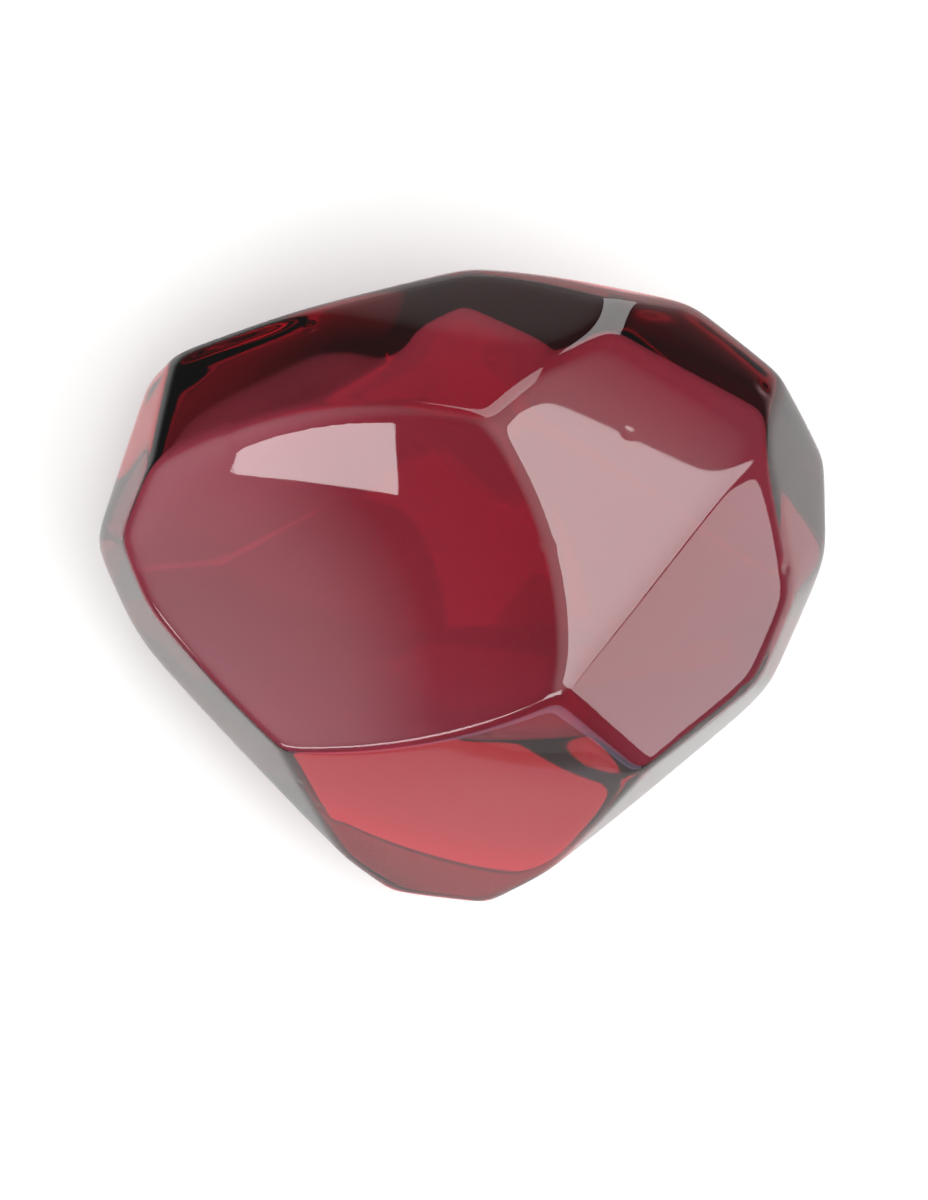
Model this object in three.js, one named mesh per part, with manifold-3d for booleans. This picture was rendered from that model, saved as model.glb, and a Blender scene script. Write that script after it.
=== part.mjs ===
// A tumbled garnet chip, one solid piece of stone, in millimetres with +Z up.
// It rests on its flat base. The origin is on the base, under the middle of the outline,
// and the blunt tip of the heart-shaped outline points to -Y.

import * as THREE from "three";
import { mergeVertices, toCreasedNormals } from "three/addons/utils/BufferGeometryUtils.js";
import Module from "manifold-3d";

const wasm = await Module();
wasm.setup();

// Driving dimensions
const WIDTH = 9.9;
const HEIGHT = 4.85;
const HALF = WIDTH / 2;

// The rough block that every facet is cut from, and the size of the cutting tools
const BLOCK_SIDE = WIDTH * 1.5;
const TOOL_SIDE = WIDTH * 4;

// Faces that meet at less than this angle are shaded as one curved face
const CREASE = THREE.MathUtils.degToRad(7);

// Facets around the outline. Bearing is the compass way a facet faces, counter-clockwise from +X, in degrees.
// Reach is how far out its widest line (the girdle) lies, as a share of half the width. Girdle is the height of
// that line, as a share of the height. Above and below are the leans of the two faces that meet there, in
// degrees from straight up.
const SIDES = [
  { name: "upper left", bearing: 104, reach: 0.88, girdle: 0.69, above: 41, below: 104 },
  { name: "top", bearing: 80, reach: 0.91, girdle: 0.74, above: 76, below: 104 },
  { name: "upper right", bearing: 52, reach: 1.015, girdle: 0.75, above: 38, below: 106 },
  { name: "right", bearing: 0, reach: 1.01, girdle: 0.5, above: 62, below: 103 },
  { name: "lower right shoulder", bearing: 335, reach: 0.875, girdle: 0.5, above: 74, below: 103 },
  { name: "lower right", bearing: 309, reach: 0.745, girdle: 0.42, above: 78, below: 102 },
  { name: "tip", bearing: 268, reach: 0.92, girdle: 0.3, above: 70, below: 100 },
  { name: "lower left", bearing: 224, reach: 0.75, girdle: 0.38, above: 71, below: 102 },
  { name: "lower left shoulder", bearing: 206, reach: 0.875, girdle: 0.42, above: 71, below: 101 },
  { name: "left", bearing: 162, reach: 1.03, girdle: 0.48, above: 68, below: 100 },
];

// Facets on the top, and the three that lift the underside at the back and at the tip. At is a point that the
// facet passes through, with x and y as shares of half the width and z as a share of the height.
const FACES = [
  { name: "table", at: [0.4, 0.24, 0.96], bearing: 0, lean: 9 },
  { name: "lower right slope", at: [0.615, 0.05, 0.88], bearing: 331, lean: 30 },
  { name: "tip slope", at: [0, -0.34, 0.845], bearing: 262, lean: 44 },
  { name: "back slope", at: [-0.16, 0.6, 0.88], bearing: 122, lean: 28 },
  { name: "corner slope", at: [0.51, 0.47, 0.933], bearing: 34, lean: 16 },
  { name: "lifted back", at: [-0.3, 0.37, 0], bearing: 118, lean: 156 },
  { name: "lifted corner", at: [0.3, 0.4, 0], bearing: 58, lean: 156 },
  { name: "lifted tip", at: [0, -0.4, 0.11], bearing: 268, lean: 160.5 },
];

// The shallow dish on the left of the top is part of a ball
const DISH_RADIUS = HALF * 2;
const DISH_LOW = new THREE.Vector3(-0.79 * HALF, -0.24 * HALF, 0.67 * HEIGHT);

// Turns a three.js geometry into a solid for joining and cutting
function solid(geometry) {
  const bare = geometry.clone();
  bare.deleteAttribute("normal");
  bare.deleteAttribute("uv");
  const merged = mergeVertices(bare);
  return new wasm.Manifold(new wasm.Mesh({
    numProp: 3,
    vertProperties: new Float32Array(merged.attributes.position.array),
    triVerts: new Uint32Array(merged.index.array),
  }));
}

// Turns a solid back into a three.js geometry, smooth in the dish and crisp at the edges of the facets
function geometryOf(body) {
  const mesh = body.getMesh();
  const geometry = new THREE.BufferGeometry();
  geometry.setAttribute("position", new THREE.BufferAttribute(new Float32Array(mesh.vertProperties), 3));
  geometry.setIndex(new THREE.BufferAttribute(new Uint32Array(mesh.triVerts), 1));
  return toCreasedNormals(geometry, CREASE);
}

// The way that a facet faces, from its bearing and its lean
function facing(bearing, lean) {
  return new THREE.Vector3(0, 0, 1)
    .applyAxisAngle(new THREE.Vector3(0, 1, 0), THREE.MathUtils.degToRad(lean))
    .applyAxisAngle(new THREE.Vector3(0, 0, 1), THREE.MathUtils.degToRad(bearing));
}

// Cuts away everything in front of the plane through point that faces the given way
function cutFacet(body, point, bearing, lean) {
  const normal = facing(bearing, lean);
  const tool = new THREE.BoxGeometry(TOOL_SIDE, TOOL_SIDE, TOOL_SIDE);
  tool.applyQuaternion(new THREE.Quaternion().setFromUnitVectors(new THREE.Vector3(0, 0, 1), normal));
  const middle = point.clone().addScaledVector(normal, TOOL_SIDE / 2);
  tool.translate(middle.x, middle.y, middle.z);
  return body.subtract(solid(tool));
}

// The rough block, which stands on the flat base
function roughBlock() {
  const block = new THREE.BoxGeometry(BLOCK_SIDE, BLOCK_SIDE, HEIGHT * 1.5);
  block.translate(0, 0, HEIGHT * 0.75);
  return solid(block);
}

// Two faces for each stretch of the outline, which meet at its girdle
function cutSides(body) {
  for (const side of SIDES) {
    const turn = THREE.MathUtils.degToRad(side.bearing);
    const reach = side.reach * HALF;
    const point = new THREE.Vector3(reach * Math.cos(turn), reach * Math.sin(turn), side.girdle * HEIGHT);
    body = cutFacet(body, point, side.bearing, side.above);
    body = cutFacet(body, point, side.bearing, side.below);
  }
  return body;
}

// The single faces of the top and of the underside
function cutFaces(body) {
  for (const face of FACES) {
    const point = new THREE.Vector3(face.at[0] * HALF, face.at[1] * HALF, face.at[2] * HEIGHT);
    body = cutFacet(body, point, face.bearing, face.lean);
  }
  return body;
}

// The dish, hollowed by a ball whose lowest point is DISH_LOW
function cutDish(body) {
  const ball = new THREE.SphereGeometry(DISH_RADIUS, 72, 60);
  ball.rotateX(Math.PI / 2);
  ball.translate(DISH_LOW.x, DISH_LOW.y, DISH_LOW.z + DISH_RADIUS);
  return body.subtract(solid(ball));
}

function garnetMaterial() {
  return new THREE.MeshStandardMaterial({ name: "garnet", color: 0x9a2f3e, roughness: 0.08, metalness: 0 });
}

function chip() {
  const body = cutDish(cutFaces(cutSides(roughBlock())));
  const mesh = new THREE.Mesh(geometryOf(body), garnetMaterial());
  mesh.name = "garnet_chip";
  return mesh;
}

const group = new THREE.Group();
group.name = "tumbled_garnet_chip";
group.add(chip());

export default group;
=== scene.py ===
# %% [markdown]
# # A tumbled garnet chip
# This lesson makes one small chip of red garnet, about ten millimetres wide. Such chips are broken from
# rough stone and then turned in a drum with grit for weeks. The drum wears the broken faces flat and smooth,
# rounds the edges a little and polishes everything until the stone shines and light passes through it.
#
# Everything is in metres, in the frame of the CAD model: +Z is up, the chip rests on z = 0, and the blunt tip
# of its heart-shaped outline points to -Y.

import math

import bpy
import numpy as np
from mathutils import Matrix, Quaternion, Vector


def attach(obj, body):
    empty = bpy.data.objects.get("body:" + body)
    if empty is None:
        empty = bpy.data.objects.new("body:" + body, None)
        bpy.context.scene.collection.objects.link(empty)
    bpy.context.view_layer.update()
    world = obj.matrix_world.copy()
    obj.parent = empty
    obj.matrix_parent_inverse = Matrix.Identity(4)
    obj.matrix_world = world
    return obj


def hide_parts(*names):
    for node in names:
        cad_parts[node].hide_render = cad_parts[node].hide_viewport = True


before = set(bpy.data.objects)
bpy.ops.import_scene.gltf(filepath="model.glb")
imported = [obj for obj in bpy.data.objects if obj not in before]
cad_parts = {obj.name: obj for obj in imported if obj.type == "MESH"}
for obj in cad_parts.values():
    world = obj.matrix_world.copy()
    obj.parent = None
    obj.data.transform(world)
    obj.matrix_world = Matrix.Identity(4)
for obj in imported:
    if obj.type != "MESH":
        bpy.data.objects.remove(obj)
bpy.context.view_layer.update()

# %% [markdown]
# ## Driving sizes
# All sizes follow from the chip's width and height. Lengths are worked out in millimetres, because the stone
# is easier to think about that way, and turned into metres only when they go into a mesh or a light.

# %% Driving sizes
MM = 0.001
WIDTH = 9.9
HEIGHT = 4.85
HALF = WIDTH / 2
HEART = np.array([0.0, 0.0, 0.475 * HEIGHT])
print("width", WIDTH, "mm, height", HEIGHT, "mm")

# %% [markdown]
# ## The worn faces
# A tumbled chip is a rough block whose faces have been worn nearly flat. It could be cut with booleans, but
# those leave knife-sharp edges, and a bevel on such uneven edges goes wrong. So the stone is worked out as
# one smooth surface instead. Each worn face is described by a point that it passes through, its bearing
# (which way it faces, counter-clockwise from +X), its lean from straight up, and its bow (how much it domes
# outwards, or if negative dishes inwards). Nearly all faces dome a little, as worn stone does.
#
# Every stretch of the outline has two faces that meet at its widest line, the girdle. Reach is how far out
# that line lies, as a share of half the width, and girdle is how high, as a share of the height. Above and
# below are the leans of the two faces.

# %% Faces around the outline
OUTLINE_BOW = 0.015
SIDES = [
    dict(name="upper left", bearing=104, reach=0.88, girdle=0.69, above=41, below=104),
    dict(name="top", bearing=80, reach=0.91, girdle=0.74, above=76, below=104),
    dict(name="upper right", bearing=52, reach=1.015, girdle=0.75, above=38, below=106),
    dict(name="right", bearing=0, reach=1.01, girdle=0.5, above=62, below=103),
    dict(name="lower right shoulder", bearing=335, reach=0.875, girdle=0.5, above=74, below=103),
    dict(name="lower right", bearing=309, reach=0.745, girdle=0.42, above=78, below=102),
    dict(name="tip", bearing=268, reach=0.92, girdle=0.3, above=70, below=100),
    dict(name="lower left", bearing=224, reach=0.75, girdle=0.38, above=71, below=102),
    dict(name="lower left shoulder", bearing=206, reach=0.875, girdle=0.42, above=71, below=101),
    dict(name="left", bearing=162, reach=1.03, girdle=0.48, above=68, below=100),
]
print(len(SIDES), "stretches of outline, two faces each")

# %% [markdown]
# The top has a bright flat table on the right, a shallow dish on the left, and four slopes between them and
# the outline. The underside has the flat base, and three faces that lift it at the back and at the tip. What
# lies under a clear stone matters as much as its top: a face underneath that leans the right way turns the
# light back by total reflection, which is why the back edge of the chip looks dark and its tip glows. Each
# point is given as shares of half the width, half the width and the height. The base face is put a little
# under z = 0, and the stone is pressed flat at z = 0 afterwards, which keeps the rim of the base crisp.

# %% Faces of the top and the underside
FACES = [
    dict(name="table", at=(0.4, 0.24, 0.96), bearing=0, lean=9, bow=0.03),
    dict(name="dish", at=(-0.79, -0.24, 0.67), bearing=0, lean=0, bow=-0.1),
    dict(name="lower right slope", at=(0.615, 0.05, 0.88), bearing=331, lean=30, bow=0.03),
    dict(name="tip slope", at=(0, -0.34, 0.845), bearing=262, lean=44, bow=0.02),
    dict(name="back slope", at=(-0.16, 0.6, 0.88), bearing=122, lean=28, bow=0.03),
    dict(name="corner slope", at=(0.51, 0.47, 0.933), bearing=34, lean=16, bow=0.03),
    dict(name="lifted back", at=(-0.3, 0.37, 0), bearing=118, lean=156, bow=0.0),
    dict(name="lifted corner", at=(0.3, 0.4, 0), bearing=58, lean=156, bow=0.0),
    dict(name="lifted tip", at=(0, -0.4, 0.11), bearing=268, lean=160.5, bow=0.035),
]
BASE_BELOW = 0.03
print(len(FACES), "more faces and the flat base")

# %% [markdown]
# ## One surface from many faces
# The stone is seen from its heart, a point in its middle. Along any direction from the heart, each face is
# met at some distance, and the stone ends at the nearest face. Taking one over that distance as the face's
# share, the nearest face is the one with the largest share. The plain largest share would give sharp edges,
# so the shares are joined by a power mean. A high power keeps the faces flat and softens only the edges.

# %% Distance to one face, and to the whole surface
EDGE_POWER = 100


def facing(bearing, lean):
    """The unit vector that a face points along: lean away from +Z, turned to its bearing."""
    turn, tilt = math.radians(bearing), math.radians(lean)
    return np.array([math.cos(turn) * math.sin(tilt), math.sin(turn) * math.sin(tilt), math.cos(tilt)])


def face_share(ways, point, bearing, lean, bow):
    """One over the distance from the heart to a face, for each direction in ways.

    The face is a cap of a ball with curvature bow through point, where it faces bearing and lean. Putting
    r * way into the ball's equation gives a quadratic in 1 / r, and its larger root is the share. With bow
    at 0 this is a plane's share, (way . normal) / (point . normal).
    """
    normal = facing(bearing, lean)
    offset = point @ normal - bow * (point @ point) / 2
    toward = ways @ (normal - bow * point)
    under_root = toward * toward + 2 * bow * offset
    share = (toward + np.sqrt(np.maximum(under_root, 0))) / (2 * offset)
    return np.where(under_root >= 0, np.maximum(share, 0), 0)


def all_faces():
    """Every face as (point from the heart, bearing, lean, bow), in millimetres and degrees."""
    faces = []
    for side in SIDES:
        way = facing(side["bearing"], 90)
        point = side["reach"] * HALF * way + np.array([0, 0, side["girdle"] * HEIGHT]) - HEART
        faces.append((point, side["bearing"], side["above"], OUTLINE_BOW))
        faces.append((point, side["bearing"], side["below"], OUTLINE_BOW))
    for face in FACES:
        point = np.array(face["at"]) * [HALF, HALF, HEIGHT] - HEART
        faces.append((point, face["bearing"], face["lean"], face["bow"]))
    faces.append((np.array([0, 0, -BASE_BELOW]) - HEART, 0, 180, 0.0))
    return faces


def surface_distance(ways):
    """Distance from the heart to the stone's surface: (sum of share ** power) ** (-1 / power)."""
    shares = np.array([face_share(ways, *face) for face in all_faces()])
    return (shares ** EDGE_POWER).sum(axis=0) ** (-1 / EDGE_POWER), shares


print(len(all_faces()), "faces in all")

# %% [markdown]
# ## A grid with no poles
# The usual ball of rings and segments crowds its points at two poles, and a clear stone would show that as a
# star. Here the directions come from a cube: each of its six sides carries a square grid, and the grids meet
# at their rims. The points are spread by the tangent of their angle, which keeps the squares even, and the
# cube is stretched to the chip's proportions, so that the thin rim gets as many squares as the top.

# %% Directions on a stretched cube
GRID = 128
STRETCH = np.array([HALF, 0.9 * HALF, HEIGHT / 2])


def cube_directions(count):
    """Unit directions and the squares between them, on the six sides of a cube with count squares a side.

    A side is (1, u, v) with u and v running over tan(-45 to 45 degrees), turned to face each way. The rims
    that two sides share are merged.
    """
    line = np.tan(np.linspace(-math.pi / 4, math.pi / 4, count + 1))
    u, v = [grid.ravel() for grid in np.meshgrid(line, line, indexing="ij")]
    one = np.ones_like(u)
    sides = [(one, u, v), (-one, -u, v), (-u, one, v), (u, -one, v), (-v, u, one), (v, u, -one)]
    points = np.concatenate([np.stack(side, axis=1) for side in sides])
    _, first, index = np.unique(np.round(points, 9), axis=0, return_index=True, return_inverse=True)
    number = np.arange((count + 1) ** 2).reshape(count + 1, count + 1)
    square = np.stack([number[:-1, :-1], number[1:, :-1], number[1:, 1:], number[:-1, 1:]], axis=-1)
    squares = np.concatenate([square.reshape(-1, 4) + side * number.size for side in range(6)])
    ways = points[first] * STRETCH
    return ways / np.linalg.norm(ways, axis=1, keepdims=True), index.ravel()[squares]


ways, squares = cube_directions(GRID)
print(len(ways), "points and", 2 * len(squares), "triangles")

# %% [markdown]
# ## Tumbling
# The drum rounds every edge by about the same amount. A Smooth modifier would do that, but it would also wipe
# out the small nicks that come next, so the same sum is done here first: again and again, each point moves
# half way to the middle of its neighbours. A flat face stays as it is, and only edges and corners give way.

# %% Round the edges
TURNS = 8


def tumbled(points, squares, turns):
    """Each turn moves every point half way to the mean of the points it shares a square's side with."""
    start = squares.ravel()
    end = np.roll(squares, -1, axis=1).ravel()
    one_end, other_end = np.concatenate([start, end]), np.concatenate([end, start])
    count = np.bincount(one_end)
    for _ in range(turns):
        sums = [np.bincount(one_end, weights=points[other_end, axis]) for axis in range(3)]
        points = (points + np.stack(sums, axis=1) / count[:, None]) / 2
    return points


distance, shares = surface_distance(ways)
stone = ways * distance[:, None] + HEART
stone[:, 2] = np.maximum(stone[:, 2], 0)
stone = tumbled(stone, squares, TURNS)
print("stone from", stone.min(axis=0).round(2), "to", stone.max(axis=0).round(2), "mm")

# %% [markdown]
# ## Wear
# A real chip is never perfect. Its faces wave a little, because the drum wears them unevenly, and where two
# chips knocked together the edge has lost a tiny flake. Both only take stone away, so each point moves
# towards the heart. The waves are three slow sine waves. The nicks are small uneven bites on the edges, where
# knocks land, and none are near the base.

# %% Waves and nicks
WAVE_DEPTH = 0.012
NICKS = 18
NICK_SEED = 7
NICK_SIZE = (0.05, 0.13)
NICK_DEPTH = 0.18
EDGE_SPREAD = 40
CLEAR_OF_BASE = 0.3
BASE_SKIN = 0.01


def edge_closeness(shares):
    """1 on an edge and 0 on a face: how near the second largest share comes to the largest."""
    top_two = np.sort(shares, axis=0)[-2:]
    return np.exp(-EDGE_SPREAD * (1 - top_two[0] / top_two[1]))


def waves(points):
    """Slow waves from 0 to 1: the mean of three sines along slanting lines, each a little over 2 mm long."""
    lines = np.array([[2.1, 0.9, 1.4], [-1.2, 2.3, 0.8], [0.7, -1.6, 2.5]])
    shifts = np.array([0.4, 1.9, 3.3])
    return (np.sin(points @ lines.T + shifts).mean(axis=1) + 1) / 2


def nick_bites(points, closeness, draws):
    """Depth of the nicks at each point, (1 - (distance / size) ** 2) ** 2, squashed along a random way."""
    chance = np.where(points[:, 2] > CLEAR_OF_BASE, closeness ** 3, 0)
    centres = draws.choice(len(points), NICKS, replace=False, p=chance / chance.sum())
    sizes = draws.uniform(*NICK_SIZE, NICKS)
    squashes = draws.normal(0, 1, (NICKS, 3))
    bites = np.zeros(len(points))
    for centre, size, squash in zip(centres, sizes, squashes):
        away = (points - points[centre]) / size
        reach = (away ** 2).sum(axis=1) + (away @ squash) ** 2
        bites = np.maximum(bites, NICK_DEPTH * size * np.maximum(1 - reach, 0) ** 2)
    return bites


closeness = edge_closeness(shares)
bites = nick_bites(stone, closeness, np.random.default_rng(NICK_SEED))
inward = (HEART - stone) / np.linalg.norm(HEART - stone, axis=1, keepdims=True)
on_base = stone[:, 2] < BASE_SKIN
stone = stone + inward * np.where(on_base, 0, WAVE_DEPTH * waves(stone) + bites)[:, None]
print("deepest nick", bites.max().round(3), "mm")

# %% [markdown]
# ## The mesh
# The points and squares go straight into a mesh. The wear is stored with it as a value at each point, so that
# the finish can be rougher where the stone has been knocked.

# %% Make the chip
EDGE_WEAR = 0.35


def make_chip():
    """The stone as a smooth-shaded mesh. Wear is closeness * EDGE_WEAR, plus 1 at the deepest nick."""
    mesh = bpy.data.meshes.new("chip_stone")
    mesh.from_pydata((stone * MM).tolist(), [], squares.tolist())
    mesh.polygons.foreach_set("use_smooth", np.ones(len(squares), dtype=bool))
    wear = np.clip(EDGE_WEAR * closeness + bites / bites.max(), 0, 1)
    stored = mesh.attributes.new("wear", "FLOAT", "POINT")
    stored.data.foreach_set("value", wear.astype(np.float32))
    mesh.validate()
    chip = bpy.data.objects.new("chip_stone", mesh)
    bpy.context.scene.collection.objects.link(chip)
    return chip


chip = make_chip()
print(chip.name, len(chip.data.polygons), "squares")

# %% [markdown]
# ## Polished garnet
# Garnet is clear and red all the way through, so its colour isn't painted on: light loses its green and blue
# on the way through the stone. The surface is clear glass with garnet's strong bending of light (IOR 1.76),
# and Volume Absorption takes the green and blue away bit by bit. Thin places come out pink and thick ones
# deep red, with no further work. The finish is a fine polish that turns duller on worn edges and in nicks.

# %% Helpers for node materials
def add_node(tree, kind, **inputs):
    """Adds a node and sets the sockets that are named, with spaces for underscores."""
    node = tree.nodes.new(kind)
    for name, value in inputs.items():
        node.inputs[name.replace("_", " ")].default_value = value
    return node


def blank_material(name):
    material = bpy.data.materials.new(name)
    material.use_nodes = True
    return material, material.node_tree, material.node_tree.nodes["Principled BSDF"]


def noise_on_object(tree, scale, detail, roughness):
    """Noise that is fixed to the object, scale in lumps a metre."""
    place = tree.nodes.new("ShaderNodeTexCoord")
    noise = add_node(tree, "ShaderNodeTexNoise", Scale=scale, Detail=detail, Roughness=roughness)
    tree.links.new(place.outputs["Object"], noise.inputs["Vector"])
    return noise.outputs["Fac"]


print("helpers ready")

# %% Garnet
GARNET_IOR = 1.76
LOSS_PER_METRE = 640.0
LOSS_LEFT = (0.72, 0.0, 0.2)
POLISH = 0.02
WORN = 0.22
CLOUDS_PER_METRE = 420
SPECKS_PER_METRE = 1600
CLOUD_TINT = (1.0, 0.95, 0.96, 1)


def garnet():
    material, tree, shader = blank_material("polished_garnet")
    shader.inputs["Transmission Weight"].default_value = 1.0
    shader.inputs["IOR"].default_value = GARNET_IOR

    cloud = noise_on_object(tree, CLOUDS_PER_METRE, 3, 0.55)
    tint = tree.nodes.new("ShaderNodeValToRGB")
    tint.color_ramp.elements[0].position = 0.35
    tint.color_ramp.elements[0].color = CLOUD_TINT
    tint.color_ramp.elements[1].position = 0.7
    tint.color_ramp.elements[1].color = (1.0, 1.0, 1.0, 1)
    tree.links.new(cloud, tint.inputs["Fac"])
    tree.links.new(tint.outputs["Color"], shader.inputs["Base Color"])

    wear = tree.nodes.new("ShaderNodeAttribute")
    wear.attribute_name = "wear"
    haze = noise_on_object(tree, SPECKS_PER_METRE, 4, 0.6)
    worn = add_node(tree, "ShaderNodeMath")
    worn.operation = "MULTIPLY"
    tree.links.new(wear.outputs["Fac"], worn.inputs[0])
    tree.links.new(haze, worn.inputs[1])
    finish = add_node(tree, "ShaderNodeMapRange", To_Min=POLISH, To_Max=WORN)
    tree.links.new(worn.outputs["Value"], finish.inputs["Value"])
    tree.links.new(finish.outputs["Result"], shader.inputs["Roughness"])

    body = add_node(tree, "ShaderNodeVolumeAbsorption", Color=(*LOSS_LEFT, 1), Density=LOSS_PER_METRE)
    tree.links.new(body.outputs["Volume"], tree.nodes["Material Output"].inputs["Volume"])
    return material


chip.data.materials.append(garnet())
red_loss = LOSS_PER_METRE * (1 - LOSS_LEFT[0])
print("garnet loses green at", LOSS_PER_METRE, "and red at", round(red_loss), "a metre")

# %% Hand the chip to the frame
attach(chip, "root")
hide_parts("garnet_chip")
print("chip stands for the CAD node")

# %% [markdown]
# ## The floor
# The chip lies on a plain white board. The board glows a little, as a light table does, which keeps the
# shadow beside the stone soft and lets some light come up through it.

# %% Floor
FLOOR_HALF = 400.0
FLOOR_BELOW = 0.03
FLOOR_GLOW = 0.2
BOARD_WHITE = (0.93, 0.93, 0.92, 1)


def make_floor():
    reach = FLOOR_HALF * MM
    low = -FLOOR_BELOW * MM
    corners = [(-reach, -reach, low), (reach, -reach, low), (reach, reach, low), (-reach, reach, low)]
    mesh = bpy.data.meshes.new("floor")
    mesh.from_pydata(corners, [], [(0, 1, 2, 3)])
    material, _, shader = blank_material("white_board")
    shader.inputs["Base Color"].default_value = BOARD_WHITE
    shader.inputs["Roughness"].default_value = 0.7
    shader.inputs["Emission Color"].default_value = (1, 1, 1, 1)
    shader.inputs["Emission Strength"].default_value = FLOOR_GLOW
    mesh.materials.append(material)
    floor = bpy.data.objects.new("floor", mesh)
    bpy.context.scene.collection.objects.link(floor)
    return floor


floor = make_floor()
print("floor", 2 * FLOOR_HALF, "mm wide")

# %% [markdown]
# ## The studio
# A polished stone is a set of small mirrors, so its look is mostly what it reflects. The room is bright
# straight above and pale along the horizon, and dim between them. Each soft panel is placed for one face:
# a mirror that leans by an angle shows the thing that stands at twice that angle from straight up.
#
# The tip and back panels work another way. The view goes in through the tip slope, is turned back by the
# lifted face under the tip and leaves at the back of the stone, so these panels stand behind the stone and
# are seen through it. The low panel in front is for the worn edges that face it, and a little violet, which
# gives them a cool sheen.

# %% Room
# Each pair is how high a direction points, from -1 (down) to 1 (up), and the brightness there
ROOM = [(-1.0, 0.3), (0.0, 0.7), (0.09, 0.35), (0.17, 0.1), (0.74, 0.08), (0.88, 0.8), (1.0, 1.1)]


def make_room():
    """A world whose brightness depends only on how high a direction points, from -1 (down) to 1 (up)."""
    world = bpy.data.worlds.new("room")
    world.use_nodes = True
    tree = world.node_tree
    place = tree.nodes.new("ShaderNodeTexCoord")
    split = tree.nodes.new("ShaderNodeSeparateXYZ")
    height = add_node(tree, "ShaderNodeMapRange", From_Min=-1.0, From_Max=1.0)
    ramp = tree.nodes.new("ShaderNodeValToRGB")
    while len(ramp.color_ramp.elements) < len(ROOM):
        ramp.color_ramp.elements.new(1.0)
    for element, (up, brightness) in zip(ramp.color_ramp.elements, ROOM):
        element.position = (up + 1) / 2
        element.color = (brightness, brightness, brightness, 1)
    tree.links.new(place.outputs["Generated"], split.inputs[0])
    tree.links.new(split.outputs["Z"], height.inputs["Value"])
    tree.links.new(height.outputs["Result"], ramp.inputs["Fac"])
    tree.links.new(ramp.outputs["Color"], tree.nodes["Background"].inputs["Color"])
    bpy.context.scene.world = world


make_room()
print("room has", len(ROOM), "steps of brightness")

# %% Soft panels
AIM = Vector((0, 0, 0.002))


def soft_panel(name, place, size, brightness, turn=0, tint=(1, 1, 1)):
    """A soft panel that faces the chip. Place and size are in mm. Power is brightness * pi * area."""
    lamp = bpy.data.lights.new(name, "AREA")
    lamp.shape = "RECTANGLE"
    lamp.size, lamp.size_y = size[0] * MM, size[1] * MM
    lamp.color = tint
    lamp.energy = brightness * math.pi * lamp.size * lamp.size_y
    panel = bpy.data.objects.new(name, lamp)
    panel.location = Vector(place) * MM
    look = (AIM - panel.location).to_track_quat("-Z", "Y")
    panel.rotation_mode = "QUATERNION"
    panel.rotation_quaternion = look @ Quaternion((0, 0, 1), math.radians(turn))
    panel.visible_camera = False
    bpy.context.scene.collection.objects.link(panel)
    return panel


soft_panel("table_panel", (47, -18, 105), (76, 92), 3.4)
soft_panel("dish_strip", (-34, -70, 98), (84, 24), 4.7, turn=26)
soft_panel("slope_panel", (97, -53, 62), (56, 54), 2.6)
soft_panel("tip_panel", (29, 114, 34), (66, 64), 2.4)
soft_panel("back_panel", (-30, 75, 96), (56, 40), 2.0)
soft_panel("bevel_panel", (0, -124, 20), (120, 20), 0.9, tint=(0.9, 0.78, 1.1))
print("six soft panels")

# %% [markdown]
# ## The camera
# The chip is seen from straight above with a long lens, so that its sides hardly show. The frame is a little
# wider than the chip. The view transform is plain, which keeps white paper white.

# %% Camera
FRAME_WIDTH = 12.7
PICTURE_SHAPE = 1200 / 928
LENS = 100.0
SENSOR = 36.0
CLIP = (0.001, 2.0)


def make_camera():
    camera = bpy.data.objects.new("camera", bpy.data.cameras.new("camera"))
    camera.data.lens = LENS
    camera.data.sensor_width = SENSOR
    half_angle = math.atan(SENSOR / 2 / LENS)
    away = FRAME_WIDTH * PICTURE_SHAPE / 2 / math.tan(half_angle)
    camera.location = Vector((0, 0, HEIGHT / 2 + away)) * MM
    camera.data.clip_start, camera.data.clip_end = CLIP
    bpy.context.scene.collection.objects.link(camera)
    bpy.context.scene.camera = camera
    bpy.context.scene.view_settings.view_transform = "Standard"
    return away


print("camera", round(make_camera(), 1), "mm above the chip's middle")
